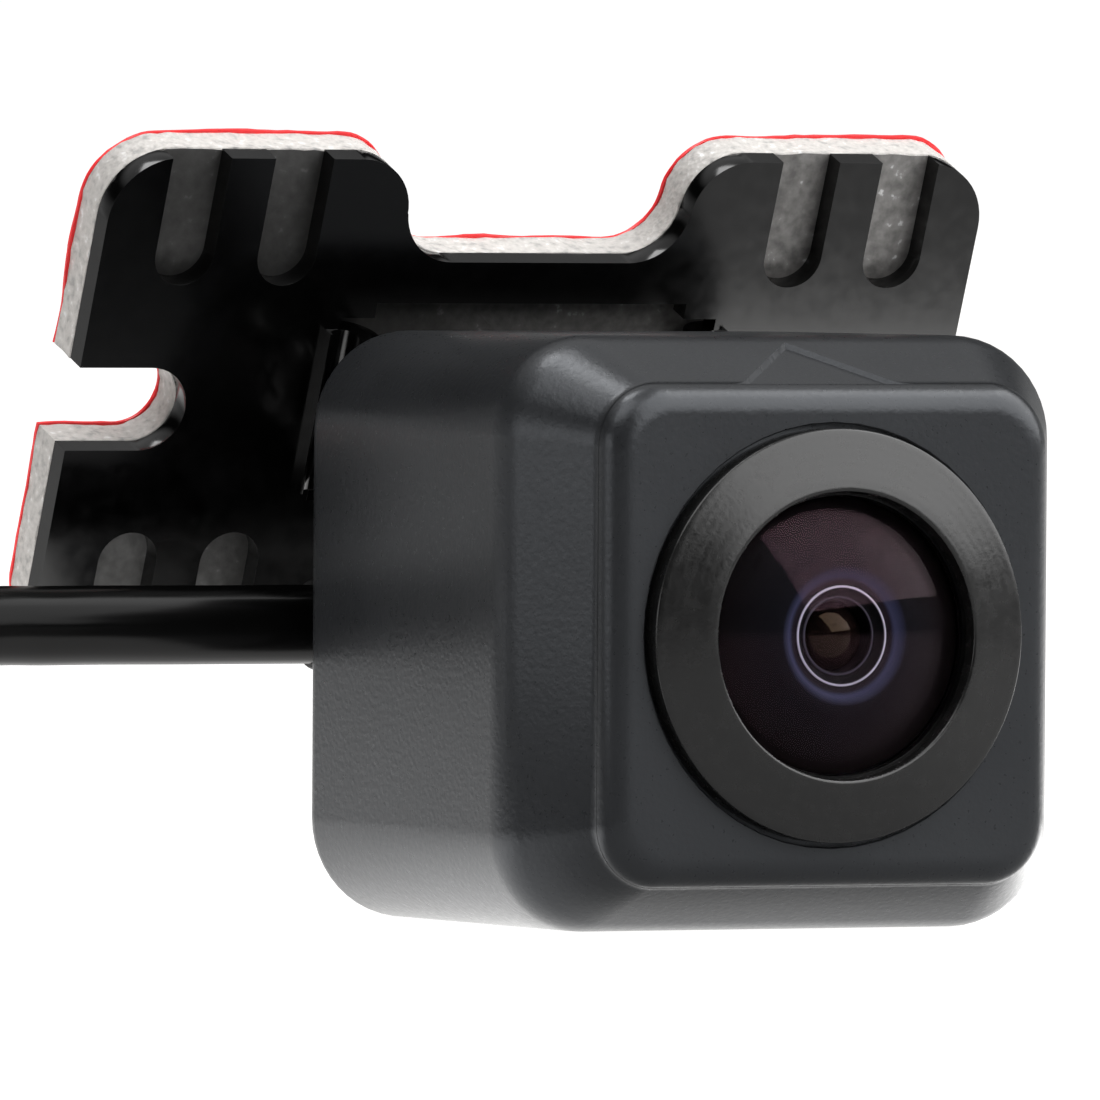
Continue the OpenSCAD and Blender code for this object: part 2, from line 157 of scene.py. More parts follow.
def bridge(rings, closed):
    """Points and faces of a skin through rings of equal count."""
    count = len(rings[0])
    pairs = len(rings) if closed else len(rings) - 1
    faces = []
    for k in range(pairs):
        here, there = k * count, (k + 1) % len(rings) * count
        for i in range(count):
            j = (i + 1) % count
            faces.append((here + i, here + j, there + j, there + i))
    if not closed:
        faces.append(tuple(reversed(range(count))))
        faces.append(tuple((len(rings) - 1) * count + i for i in range(count)))
    return [p for ring in rings for p in ring], faces


def lathe(name, profile, closed=False, sharp=35):
    """Turns [radius, height] about the lens axis. Height counts out of the face."""
    rings = []
    for k in range(LATHE_STEPS):
        turn = math.tau * k / LATHE_STEPS
        c, s = math.cos(turn), math.sin(turn)
        rings.append([(r * c, FACE_Y - h, AXIS_Z + r * s) for r, h in profile])
    count = len(profile)
    faces = []
    for k in range(LATHE_STEPS):
        here, there = k * count, (k + 1) % LATHE_STEPS * count
        for i in range(count if closed else count - 1):
            j = (i + 1) % count
            faces.append((here + i, here + j, there + j, there + i))
    points = [p for ring in rings for p in ring]
    return mesh_piece(name, points, faces, sharp=sharp)


def welded_form(node):
    """A CAD node's mesh with its facets joined into whole flats."""
    form = bmesh.new()
    form.from_mesh(frame["nodes"][node].data)
    bmesh.ops.remove_doubles(form, verts=form.verts, dist=2e-6)
    bmesh.ops.dissolve_limit(form, angle_limit=FLAT_ANGLE, verts=form.verts, edges=form.edges)
    return form


def polished_copy(node, bevel):
    """Copy of a CAD node with its edges rounded, which stands for the node."""
    mesh = bpy.data.meshes.new(node + "_finished")
    form = welded_form(node)
    hard = [e for e in form.edges if len(e.link_faces) == 2 and e.calc_face_angle() > HARD_ANGLE]
    bmesh.ops.bevel(form, geom=hard, offset=bevel * MM, offset_type="OFFSET",
                    segments=2, profile=0.5, affect="EDGES", clamp_overlap=True)
    bmesh.ops.recalc_face_normals(form, faces=form.faces)
    form.to_mesh(mesh)
    form.free()
    soften(mesh, 35)
    piece = new_object(mesh.name, mesh, frame["nodes"][node]["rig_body"])
    keep_flats_flat(piece)
    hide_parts(node)
    return piece


def arc(centre_r, centre_h, radius, start, end, steps):
    """Points [r, h] on an arc, with angles in degrees."""
    points = []
    for k in range(steps + 1):
        a = math.radians(start + (end - start) * k / steps)
        points.append((centre_r + radius * math.cos(a), centre_h + radius * math.sin(a)))
    return points


# ------------------------------------------------------------------ cable
CABLE_D = 3.2
CABLE_Y = in_mm(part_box("cable")[1]).y - CABLE_D / 2
COIL_X = (coil_low.x + coil_high.x) / 2
COIL_Y = (coil_low.y + coil_high.y) / 2
LOW_Z = coil_low.z + CABLE_D / 2
HIGH_Z = coil_high.z - CABLE_D / 2 - 0.05

# Route from the boot down to the coil, [x, z]
CABLE_ROUTE = [
    (-10.5, 11.6), (-16, 11.6), (-22, 11.6), (-26, 11.5), (-30, 10.6), (-34, 8.9),
    (-38, 6.7), (-42, 4.6), (-46, 3.1), (-50, 2.4), (-55, 2.2)]
# Route from the coil up to the connector, from the middle of the coil
TAIL_ROUTE = [
    (19.7, -9, 6.4), (20.6, -5, 7.4), (20.8, -1, 8.5), (20.3, 3, 9.4), (18.8, 6.8, 10.1),
    (16.3, 9.9, 10.6), (13.3, 11.9, 10.9), (10.4, 12.9, 10.9), (7.5, 13.2, 10.9)]
# Lanes that the turns lie in, outermost first below and innermost first on top
LOW_LANES = [20.7, 17.4, 14.1]
HIGH_LANES = [14.75, 18.05, 21.3]
FIRST_CHANGE = 0.74
CLIMB = 2.15
HIGH_CHANGES = [2.98, 3.95]
LANE_CHANGE = 0.4
TURNS = 4.63
STEPS_PER_TURN = 24


def ease(t):
    t = min(max(t, 0), 1)
    return t * t * (3 - 2 * t)


def coil_radius(turn):
    """Radius of the cable after so many turns: it keeps to a lane and then changes to the next."""
    radius = LOW_LANES[0]
    for k in range(2):
        begin = FIRST_CHANGE - LANE_CHANGE / 2 + k
        radius += (LOW_LANES[k + 1] - LOW_LANES[k]) * ease((turn - begin) / LANE_CHANGE)
    radius += (HIGH_LANES[0] - LOW_LANES[2]) * ease((turn - CLIMB) / LANE_CHANGE)
    for k in range(2):
        begin = HIGH_CHANGES[k]
        radius += (HIGH_LANES[k + 1] - HIGH_LANES[k]) * ease((turn - begin) / LANE_CHANGE)
    return radius


def coil_height(turn):
    height = LOW_Z + (HIGH_Z - LOW_Z) * ease((turn - CLIMB) / LANE_CHANGE)
    lift = TAIL_ROUTE[0][2] - HIGH_Z
    return height + lift * max(0, (turn - TURNS + 0.22) / 0.26) ** 1.5 * 0.9


def cable_points():
    points = [(x, CABLE_Y, z) for x, z in CABLE_ROUTE]
    steps = round(TURNS * STEPS_PER_TURN)
    for k in range(steps + 1):
        turn = TURNS * k / steps
        angle = math.radians(90) + math.tau * turn
        r = coil_radius(turn)
        points.append((COIL_X + r * math.cos(angle), COIL_Y + r * math.sin(angle), coil_height(turn)))
    points += [(COIL_X + x, COIL_Y + y, z) for x, y, z in TAIL_ROUTE]
    return points


def make_cable():
    curve = bpy.data.curves.new("camera_cable", "CURVE")
    curve.dimensions = "3D"
    curve.bevel_depth = 1.0
    curve.bevel_resolution = 7
    curve.resolution_u = 6
    curve.use_fill_caps = True
    points = cable_points()
    spline = curve.splines.new("BEZIER")
    spline.bezier_points.add(len(points) - 1)
    for knot, point in zip(spline.bezier_points, points):
        knot.co = Vector(point) * MM
        knot.radius = CABLE_D / 2 * MM
        knot.handle_left_type = "AUTO"
        knot.handle_right_type = "AUTO"
    piece = new_object("camera_cable", curve, "camera")
    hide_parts("cable", "cable_coil", "cable_tail")
    finish(piece, "cable_jacket")
    return piece


# ------------------------------------------------------------------ materials
def material(name):
    made = bpy.data.materials.new(name)
    made.use_nodes = True
    return made, made.node_tree, made.node_tree.nodes["Principled BSDF"]


def object_noise(tree, scale, detail=3.0, stretch=(1, 1, 1)):
    """Noise that is fixed to the object. Scale counts per metre."""
    coordinates = tree.nodes.new("ShaderNodeTexCoord")
    mapping = tree.nodes.new("ShaderNodeMapping")
    mapping.inputs["Scale"].default_value = stretch
    texture = tree.nodes.new("ShaderNodeTexNoise")
    texture.inputs["Scale"].default_value = scale
    texture.inputs["Detail"].default_value = detail
    tree.links.new(coordinates.outputs["Object"], mapping.inputs["Vector"])
    tree.links.new(mapping.outputs["Vector"], texture.inputs["Vector"])
    return texture.outputs["Fac"]


def spread(tree, value, low, high, from_low=0.3, from_high=0.7):
    node = tree.nodes.new("ShaderNodeMapRange")
    node.inputs["From Min"].default_value = from_low
    node.inputs["From Max"].default_value = from_high
    node.inputs["To Min"].default_value = low
    node.inputs["To Max"].default_value = high
    tree.links.new(value, node.inputs["Value"])
    return node.outputs["Result"]


def blend_colours(tree, value, stops):
    ramp = tree.nodes.new("ShaderNodeValToRGB")
    elements = ramp.color_ramp.elements
    elements.remove(elements[1])
    elements[0].position = stops[0][0]
    elements[0].color = (*stops[0][1], 1)
    for position, colour in stops[1:]:
        elements.new(position).color = (*colour, 1)
    tree.links.new(value, ramp.inputs["Fac"])
    return ramp.outputs["Color"]


def bump(tree, height, distance, strength=1.0, under=None):
    node = tree.nodes.new("ShaderNodeBump")
    node.inputs["Distance"].default_value = distance * MM
    node.inputs["Strength"].default_value = strength
    tree.links.new(height, node.inputs["Height"])
    if under:
        tree.links.new(under, node.inputs["Normal"])
    return node.outputs["Normal"]


def moulded(name, dark, light, rough, grain=3000, height=0.02, mottle=180, specular=0.5,
            rough_range=0.06):
    """Moulded plastic or rubber: mottled colour, uneven gloss and a fine grain."""
    made, tree, shader = material(name)
    tone = object_noise(tree, mottle)
    colour = blend_colours(tree, tone, [(0.35, dark), (0.65, light)])
    tree.links.new(colour, shader.inputs["Base Color"])
    gloss = spread(tree, object_noise(tree, mottle * 6), rough - rough_range, rough + rough_range)
    tree.links.new(gloss, shader.inputs["Roughness"])
    fine = object_noise(tree, grain, 2)
    tree.links.new(bump(tree, fine, height), shader.inputs["Normal"])
    shader.inputs["Specular IOR Level"].default_value = specular
    return made


def metal(name, dark, light, rough, brush=(1, 1, 1), grain=1500, height=0.004, rough_range=0.08):
    """Metal with brushed or tumbled scratches."""
    made = moulded(name, dark, light, rough, grain, height, 300, 0.5, rough_range)
    made.node_tree.nodes["Principled BSDF"].inputs["Metallic"].default_value = 1
    for node in made.node_tree.nodes:
        if node.bl_idname == "ShaderNodeMapping":
            node.inputs["Scale"].default_value = brush
    return made


def grey(value, warm=0.0):
    return (value * (1 + warm), value, value * (1 - warm))


def housing_plastic():
    """Charcoal shell with a fine spark-eroded grain."""
    made, tree, shader = material("housing_plastic")
    tone = object_noise(tree, 160)
    colour = blend_colours(tree, tone, [
        (0.35, (0.0150, 0.0158, 0.0172)), (0.65, (0.0190, 0.0200, 0.0216))])
    tree.links.new(colour, shader.inputs["Base Color"])
    gloss = spread(tree, object_noise(tree, 4500, 2), 0.27, 0.33)
    tree.links.new(gloss, shader.inputs["Roughness"])
    coarse = bump(tree, object_noise(tree, 900, 3), 0.004)
    fine = bump(tree, object_noise(tree, 4200, 2), 0.010, under=coarse)
    tree.links.new(fine, shader.inputs["Normal"])
    shader.inputs["Specular IOR Level"].default_value = 0.48
    shader.inputs["Specular Tint"].default_value = (0.9, 0.94, 1.0, 1)
    return made


def speckled_foam():
    """Closed-cell acrylic foam: pale grey, with glassy beads and dark pores."""
    made, tree, shader = material("acrylic_foam")
    cells = tree.nodes.new("ShaderNodeTexVoronoi")
    cells.inputs["Scale"].default_value = 4200
    coordinates = tree.nodes.new("ShaderNodeTexCoord")
    tree.links.new(coordinates.outputs["Object"], cells.inputs["Vector"])
    tone = object_noise(tree, 2600, 4)
    colour = blend_colours(tree, tone, [
        (0.30, grey(0.34, 0.03)), (0.45, grey(0.48, 0.045)), (0.62, grey(0.55, 0.045)), (0.74, grey(0.80))])
    tree.links.new(colour, shader.inputs["Base Color"])
    tree.links.new(spread(tree, tone, 0.8, 0.35), shader.inputs["Roughness"])
    pores = bump(tree, cells.outputs["Distance"], 0.05, 0.7)
    tree.links.new(bump(tree, object_noise(tree, 1300, 4), 0.05, 0.8, pores), shader.inputs["Normal"])
    return made


def bracket_black():
    """Glossy black electro-coat, with a faint orange peel."""
    made, tree, shader = material("bracket_black")
    tone = object_noise(tree, 260)
    colour = blend_colours(tree, tone, [(0.3, grey(0.0004)), (0.7, grey(0.0010))])
    tree.links.new(colour, shader.inputs["Base Color"])
    gloss = spread(tree, object_noise(tree, 1500), 0.12, 0.2)
    tree.links.new(gloss, shader.inputs["Roughness"])
    peel = bump(tree, object_noise(tree, 700, 1), 0.002)
    tree.links.new(peel, shader.inputs["Normal"])
    shader.inputs["Specular IOR Level"].default_value = 0.5
    return made


def coated_glass():
    """Domed glass with a dim magenta coating."""
    made, tree, shader = material("coated_glass")
    tone = object_noise(tree, 90, 1)
    colour = blend_colours(tree, tone, [(0.3, (0.92, 0.93, 1.0)), (0.7, (1.0, 0.95, 0.98))])
    tree.links.new(colour, shader.inputs["Base Color"])
    tree.links.new(spread(tree, object_noise(tree, 500), 0.0, 0.004), shader.inputs["Roughness"])
    shader.inputs["Transmission Weight"].default_value = 1
    shader.inputs["IOR"].default_value = 1.14
    shader.inputs["Specular Tint"].default_value = (1.0, 0.58, 0.72, 1)
    return made


def inner_glass():
    """Small lens elements deep in the barrel."""
    made, tree, shader = material("inner_glass")
    tone = object_noise(tree, 300, 1)
    colour = blend_colours(tree, tone, [(0.3, (0.0020, 0.0014, 0.0012)), (0.7, (0.0040, 0.0022, 0.0018))])
    tree.links.new(colour, shader.inputs["Base Color"])
    tree.links.new(spread(tree, object_noise(tree, 900), 0.03, 0.07), shader.inputs["Roughness"])
    shader.inputs["Specular IOR Level"].default_value = 0.2
    shader.inputs["Specular Tint"].default_value = (1.0, 0.7, 0.42, 1)
    return made


def circuit_board():
    """Green solder mask over copper tracks."""
    made, tree, shader = material("circuit_board")
    tracks = tree.nodes.new("ShaderNodeTexWave")
    tracks.inputs["Scale"].default_value = 260
    tracks.inputs["Distortion"].default_value = 6
    coordinates = tree.nodes.new("ShaderNodeTexCoord")
    tree.links.new(coordinates.outputs["Object"], tracks.inputs["Vector"])
    colour = blend_colours(tree, tracks.outputs["Fac"], [
        (0.45, (0.006, 0.045, 0.016)), (0.6, (0.014, 0.085, 0.03))])
    tree.links.new(colour, shader.inputs["Base Color"])
    tree.links.new(spread(tree, object_noise(tree, 800), 0.25, 0.4), shader.inputs["Roughness"])
    tree.links.new(bump(tree, tracks.outputs["Fac"], 0.03), shader.inputs["Normal"])
    return made


def build_materials():
    """One material for each slot in the record."""
    return {
        "housing_plastic": housing_plastic(),
        "cover_plastic": moulded("cover_plastic", grey(0.012), grey(0.018), 0.5, 2600, 0.02),
        "seal_rubber": moulded("seal_rubber", grey(0.006), grey(0.010), 0.6),
        "red_rubber": moulded("red_rubber", (0.30, 0.012, 0.010), (0.42, 0.02, 0.014), 0.45),
        "screw_steel": metal("screw_steel", grey(0.35), grey(0.52), 0.3, (1, 1, 6)),
        "dark_steel": metal("dark_steel", grey(0.05), grey(0.09), 0.38),
        "bezel_metal": bezel_metal(),
        "barrel_metal": metal("barrel_metal", grey(0.012), grey(0.022), 0.35),
        "coated_glass": coated_glass(),
        "inner_glass": inner_glass(),
        "filter_glass": moulded("filter_glass", (0.03, 0.09, 0.10), (0.05, 0.14, 0.15), 0.08, 500, 0.001),
        "stop_black": moulded("stop_black", grey(0.003), grey(0.005), 0.8),
        "circuit_board": circuit_board(),
        "chip_plastic": moulded("chip_plastic", grey(0.010), grey(0.016), 0.55),
        "socket_nylon": moulded("socket_nylon", (0.50, 0.47, 0.40), (0.62, 0.59, 0.51), 0.45),
        "wire_insulation": moulded("wire_insulation", (0.35, 0.02, 0.02), (0.5, 0.04, 0.03), 0.4),
        "cable_jacket": cable_jacket(),
        "boot_rubber": moulded("boot_rubber", grey(0.007), grey(0.011), 0.42, 2400, 0.02),
        "tie_strap": moulded("tie_strap", grey(0.02), grey(0.035), 0.5, 1400, 0.03),
        "connector_plastic": moulded("connector_plastic", grey(0.008), grey(0.013), 0.4, 2600, 0.015),
        "contact_brass": metal("contact_brass", (0.50, 0.34, 0.10), (0.72, 0.52, 0.20), 0.25),
        "bracket_black": bracket_black(),
        "acrylic_foam": speckled_foam(),
        "liner_red": moulded("liner_red", (0.88, 0.022, 0.028), (1.0, 0.036, 0.042), 0.35, 800, 0.02),
    }


def bezel_metal():
    """Black-anodised ring with faint turning marks round the lens axis."""
    made, tree, shader = material("bezel_metal")
    coordinates = tree.nodes.new("ShaderNodeTexCoord")
    mapping = tree.nodes.new("ShaderNodeMapping")
    mapping.inputs["Location"].default_value = (0, -FACE_Y * MM, -AXIS_Z * MM)
    tree.links.new(coordinates.outputs["Object"], mapping.inputs["Vector"])
    rings = tree.nodes.new("ShaderNodeTexWave")
    rings.wave_type = "RINGS"
    rings.rings_direction = "Y"
    rings.inputs["Scale"].default_value = 900
    rings.inputs["Distortion"].default_value = 3
    rings.inputs["Detail"].default_value = 3
    tree.links.new(mapping.outputs["Vector"], rings.inputs["Vector"])
    tone = object_noise(tree, 1800, 4)
    colour = blend_colours(tree, tone, [(0.3, grey(0.0045, 0.01)), (0.7, grey(0.0075, 0.01))])
    tree.links.new(colour, shader.inputs["Base Color"])
    tree.links.new(spread(tree, tone, 0.23, 0.29), shader.inputs["Roughness"])
    marks = bump(tree, rings.outputs["Fac"], 0.0016)
    tree.links.new(bump(tree, object_noise(tree, 5000, 2), 0.005, under=marks), shader.inputs["Normal"])
    shader.inputs["Specular IOR Level"].default_value = 0.55
    return made


def cable_jacket():
    """Extruded black jacket: satin, with faint drag lines along it."""
    made, tree, shader = material("cable_jacket")
    tone = object_noise(tree, 220)
    colour = blend_colours(tree, tone, [(0.35, grey(0.0010)), (0.65, grey(0.0020))])
    tree.links.new(colour, shader.inputs["Base Color"])
    gloss = spread(tree, object_noise(tree, 900, 3, (0.12, 1, 1)), 0.16, 0.24)
    tree.links.new(gloss, shader.inputs["Roughness"])
    drag = bump(tree, object_noise(tree, 1400, 2, (0.08, 1, 1)), 0.012)
    tree.links.new(drag, shader.inputs["Normal"])
    shader.inputs["Specular IOR Level"].default_value = 0.12
    return made


SLOTS = {}


def finish(piece, slot):
    """Gives a piece the material of a slot."""
    piece.data.materials.clear()
    piece.data.materials.append(SLOTS[slot])


def paint_cad_nodes():
    """Every carried-over CAD node gets the material of its slot in the record."""
    for part in frame["record"]["subparts"]:
        node = frame["nodes"][part["node"]]
        node.data.materials.clear()
        node.data.materials.append(SLOTS[part["material_slot"]])


# ------------------------------------------------------------------ housing
CORNER_STEPS = 12
FRONT_HALF = 8.75
FRONT_FILLET = 1.1
BLOCK_HALF = FRONT_HALF + FRONT_FILLET
BLOCK_CORNER = 2.5
SLOPE_END = 4.8
BODY_CORNER = 4.0
REAR_FILLET = 1.2
BORE_R = 7.2
RECESS_R = 8.3


def rounded_ring(depth, half_w, half_h, corner):
    """Ring of points round a rounded rectangle, a depth behind the square face."""
    ring = []
    for quarter in range(4):
        sx = 1 if quarter in (0, 3) else -1
        sz = 1 if quarter < 2 else -1
        for k in range(CORNER_STEPS + 1):
            a = math.radians(90) * (quarter + k / CORNER_STEPS)
            ring.append((sx * (half_w - corner) + corner * math.cos(a), FACE_Y + depth,
                         AXIS_Z + sz * (half_h - corner) + corner * math.sin(a)))
    return ring


def round_ring(depth, radius):
    return rounded_ring(depth, radius, radius, radius)


def front_of_block():
    """Rings of the quarter-round edge of the square face."""
    rings = [rounded_ring(0, FRONT_HALF - 0.12, FRONT_HALF - 0.12, 1.72)]
    for k in range(9):
        a = math.radians(90 * k / 8)
        inset = FRONT_FILLET * (1 - math.sin(a))
        half = BLOCK_HALF - inset
        rings.append(rounded_ring(FRONT_FILLET * (1 - math.cos(a)), half, half, BLOCK_CORNER - 0.6 * inset))
    return rings


def between(start, end, t):
    return tuple(a + (b - a) * t for a, b in zip(start, end))


def blend_section(before, corner, after, soft):
    """Sections that round off the corner of an outline, as [depth, half width, half height, radius]."""
    def towards(other):
        reach = math.dist(corner[:2], other[:2])
        return between(corner, other, min(soft / reach, 0.49))
    first, last = towards(before), towards(after)
    sections = []
    for k in range(7):
        t = k / 6
        sections.append(between(between(first, corner, t), between(corner, last, t), t))
    return sections


CREASE_SOFT = 0.25
SHOULDER_SOFT = 0.9


def slope_of_block():
    """Rings from the crease behind the block, up the slope and over the shoulder."""
    edge = (FRONT_FILLET * 0.75, BLOCK_HALF, BLOCK_HALF, BLOCK_CORNER)
    crease = (FRONT_FILLET + 0.05, BLOCK_HALF, BLOCK_HALF, BLOCK_CORNER)
    shoulder = (SLOPE_END, BODY_HALF_W, BODY_HALF_H, BODY_CORNER)
    back = (SLOPE_END + 4, BODY_HALF_W, BODY_HALF_H, BODY_CORNER)
    sections = blend_section(edge, crease, shoulder, CREASE_SOFT)
    sections += blend_section(crease, shoulder, back, SHOULDER_SOFT)
    return [rounded_ring(*section) for section in sections]


def back_of_housing():
    """Rings of the rounded back edge, the rim, the pocket for the cover and the cavity."""
    rings = []
    for k in range(7):
        a = math.radians(90 * k / 6)
        inset = REAR_FILLET * (1 - math.cos(a))
        depth = BODY_DEPTH - REAR_FILLET * (1 - math.sin(a))
        rings.append(rounded_ring(depth, BODY_HALF_W - inset, BODY_HALF_H - inset, BODY_CORNER - inset))
    for depth, half_w, half_h, corner in [
            (BODY_DEPTH, 10.5, 10.05, 2.5), (BODY_DEPTH - 0.15, 10.35, 9.9, 2.4), (19.7, 10.35, 9.9, 2.4),
            (19.7, 9.45, 9.1, 2.0), (5.65, 9.45, 9.1, 2.0), (5.65, 7.8, 7.8, 1.5), (2.0, 7.8, 7.8, 1.5)]:
        rings.append(rounded_ring(depth, half_w, half_h, corner))
    return rings


def front_opening():
    """Rings of the bore behind the bezel, from the inside out to the face."""
    return [round_ring(2.0, BORE_R), round_ring(0.4, BORE_R), round_ring(0.4, RECESS_R),
            round_ring(0.05, RECESS_R), round_ring(0, RECESS_R + 0.05)]


MARK_DEPTH = 0.17
MARK_ABOVE = 0.5
MARK_MIDDLE = 1.0
MARK_CORNERS = [(-3.3, -0.05), (3.3, -0.05), (0, 3.25)]


def up_mark():
    """Points and faces of the widening prism that cuts the sunk triangle into the top slope."""
    rise, run = BODY_HALF_H - BLOCK_HALF, SLOPE_END - FRONT_FILLET
    slope = math.atan2(rise, run)

    def lift(x, along, out):
        depth = FRONT_FILLET + along * math.cos(slope) - out * math.sin(slope)
        return (x, FACE_Y + depth, AXIS_Z + BLOCK_HALF + along * math.sin(slope) + out * math.cos(slope))

    points = []
    for out in (-MARK_DEPTH, MARK_ABOVE):
        wider = 1 + 0.12 * (out + MARK_DEPTH) / MARK_DEPTH
        for x, along in MARK_CORNERS:
            points.append(lift(x * wider, MARK_MIDDLE + (along - MARK_MIDDLE) * wider, out))
    faces = [(2, 1, 0), (3, 4, 5), (0, 1, 4, 3), (1, 2, 5, 4), (2, 0, 3, 5)]
    return points, faces


def sink_mark(housing):
    """Cuts the triangle out of the shell and leaves no cutter behind."""
    points, faces = up_mark()
    mesh = bpy.data.meshes.new("mark_cutter")
    mesh.from_pydata([Vector(p) * MM for p in points], [], faces)
    cutter = bpy.data.objects.new("mark_cutter", mesh)
    bpy.context.scene.collection.objects.link(cutter)
    cut = housing.modifiers.new("mark", "BOOLEAN")
    cut.operation = "DIFFERENCE"
    cut.solver = "EXACT"
    cut.object = cutter
    graph = bpy.context.evaluated_depsgraph_get()
    housing.data = bpy.data.meshes.new_from_object(housing.evaluated_get(graph))
    housing.modifiers.clear()
    bpy.data.objects.remove(cutter)


def make_housing():
    rings = front_opening() + front_of_block() + slope_of_block() + back_of_housing()
    points, faces = bridge(rings, closed=True)
    housing = mesh_piece("housing_shell", points, faces, sharp=32)
    sink_mark(housing)
    soften(housing.data, 32)
    keep_flats_flat(housing)
    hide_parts("front_housing")
    finish(housing, "housing_plastic")


# ------------------------------------------------------------------ lens
RIM_PROUD = 0.6
LIP_PROUD = FACE_Y - bezel_low.y - 0.03
BEZEL_R = bezel_high.x
APERTURE_R = 5.6
DOME_R = 12.0
DOME_EDGE = 5.45
DOME_TOP = FACE_Y - lens_low.y
GLASS_THICK = 0.3
SEAT_R = 2.72


def make_bezel():
    """Turned ring: cylindrical rim, shallow cone and a rolled lip round the glass."""
    cone_out = (BEZEL_R - 0.2, RIM_PROUD + 0.06)
    cone_in = (APERTURE_R + 0.22, LIP_PROUD)
    rim = arc(BEZEL_R - 0.14, RIM_PROUD - 0.1, 0.14, 0, 68, 4)
    lip = arc(APERTURE_R + 0.16, LIP_PROUD - 0.13, 0.13, 80, 180, 5)
    middle = [between(cone_out, cone_in, t) for t in (0.02, 0.25, 0.5, 0.75, 0.98)]
    inside = [(APERTURE_R, 0.95), (APERTURE_R - 0.02, 0.55), (6.1, 0.55), (6.1, -1.9), (7.1, -1.9),
              (7.1, -1.5), (6.6, -1.5), (6.6, -0.9), (7.1, -0.9), (7.1, -0.4), (BEZEL_R, -0.4)]
    bezel = lathe("bezel_ring", inside + rim + middle + lip, closed=True, sharp=30)
    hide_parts("lens_bezel")
    finish(bezel, "bezel_metal")


def dome_points(top, radius, edge, steps):
    """Profile of a spherical cap, from its middle to its edge."""
    points = []
    for k in range(steps + 1):
        r = edge * k / steps
        points.append((r, top - (radius - math.sqrt(radius * radius - r * r))))
    return points


def under_glass(r):
    """Height of the seat that lies close under the domed glass."""
    inner = DOME_R - GLASS_THICK
    return DOME_TOP - GLASS_THICK - (inner - math.sqrt(inner * inner - r * r)) - 0.05


def make_front_lens():
    """The coated dome, and under it the ground seats that show through as rings; the bright ring, the faint
    ring and the blue halo on the seat are a painted highlight and a painted reflection.
    """
    outside = dome_points(DOME_TOP, DOME_R, DOME_EDGE, 30)
    inside = dome_points(DOME_TOP - GLASS_THICK, DOME_R - GLASS_THICK, DOME_EDGE, 30)
    glass = lathe("front_lens_dome", inside + outside[::-1], sharp=40)
    glass.visible_shadow = False
    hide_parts("front_lens")
    finish(glass, "coated_glass")
    steps = [
        (2.62, -0.02), (2.5, -0.08), (2.38, -0.18), (2.3, -0.24), (2.05, -0.32), (1.99, -0.32),
        (1.95, -0.27), (1.9, -0.26), (1.86, -0.3), (1.82, -0.46), (1.62, -0.58), (1.55, -0.58),
        (1.51, -0.54), (1.47, -0.55), (1.44, -0.62), (1.4, -0.84)]
    seat = [(r, under_glass(r)) for r in (5.4, 5.0, 4.6, 4.1, 3.6, 3.2, SEAT_R)]
    seat += [(r, under_glass(SEAT_R) + drop) for r, drop in steps]
    seat += [(1.4, -0.95), (5.4, -0.85)]
    core = lathe("front_lens_seat", seat, closed=True, sharp=50)
    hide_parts("front_lens")
    core.data.materials.append(lens_core())


def make_second_lens():
    top = under_glass(SEAT_R) - 0.62
    dome = dome_points(top, 1.75, 1.37, 16)
    block = [(1.39, -1.3), (3.4, -1.35), (3.4, -3.4), (0.0, -3.4)]
    lens = lathe("second_lens_dome", dome + block, sharp=40)
    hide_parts("second_lens")
    finish(lens, "inner_glass")


def lens_core():
    """Blackened glass under the dome, graded by its distance from the lens axis, with a painted highlight
    ring, a fainter painted ring and a painted blue reflection halo.
    """
    made, tree, shader = material("lens_core")
    coordinates = tree.nodes.new("ShaderNodeTexCoord")
    apart = tree.nodes.new("ShaderNodeSeparateXYZ")
    tree.links.new(coordinates.outputs["Object"], apart.inputs["Vector"])
    flat = tree.nodes.new("ShaderNodeCombineXYZ")
    lower = tree.nodes.new("ShaderNodeMath")
    lower.operation = "SUBTRACT"
    lower.inputs[1].default_value = AXIS_Z * MM
    tree.links.new(apart.outputs["Z"], lower.inputs[0])
    tree.links.new(apart.outputs["X"], flat.inputs["X"])
    tree.links.new(lower.outputs["Value"], flat.inputs["Z"])
    length = tree.nodes.new("ShaderNodeVectorMath")
    length.operation = "LENGTH"
    tree.links.new(flat.outputs["Vector"], length.inputs[0])
    radius = spread(tree, length.outputs["Value"], 0, 1, 0, DOME_EDGE * MM)
    # Painted highlight and painted reflection: the bright ring, the faint ring and the blue halo are light
    # painted into the base colour.
    black, navy, painted_reflection_halo = (0.0008, 0.0007, 0.001), (0.0008, 0.0008, 0.0018), (0.025, 0.027, 0.054)
    plum, painted_highlight_ring, painted_faint_ring = (0.006, 0.004, 0.006), (0.45, 0.42, 0.5), (0.05, 0.045, 0.06)
    stops = [(1.46, black), (1.49, painted_faint_ring), (1.53, painted_faint_ring), (1.56, black),
             (1.87, black), (1.90, painted_highlight_ring), (1.95, painted_highlight_ring), (1.98, plum), (2.18, plum), (2.32, painted_reflection_halo),
             (2.38, painted_reflection_halo), (2.75, navy), (3.6, (0.0012, 0.0009, 0.0016)), (5.2, (0.0020, 0.0010, 0.0010))]
    colour = blend_colours(tree, radius, [(r / DOME_EDGE, c) for r, c in stops])
    tree.links.new(colour, shader.inputs["Base Color"])
    tree.links.new(spread(tree, object_noise(tree, 900), 0.45, 0.6), shader.inputs["Roughness"])
    shader.inputs["Specular IOR Level"].default_value = 0.06
    return made


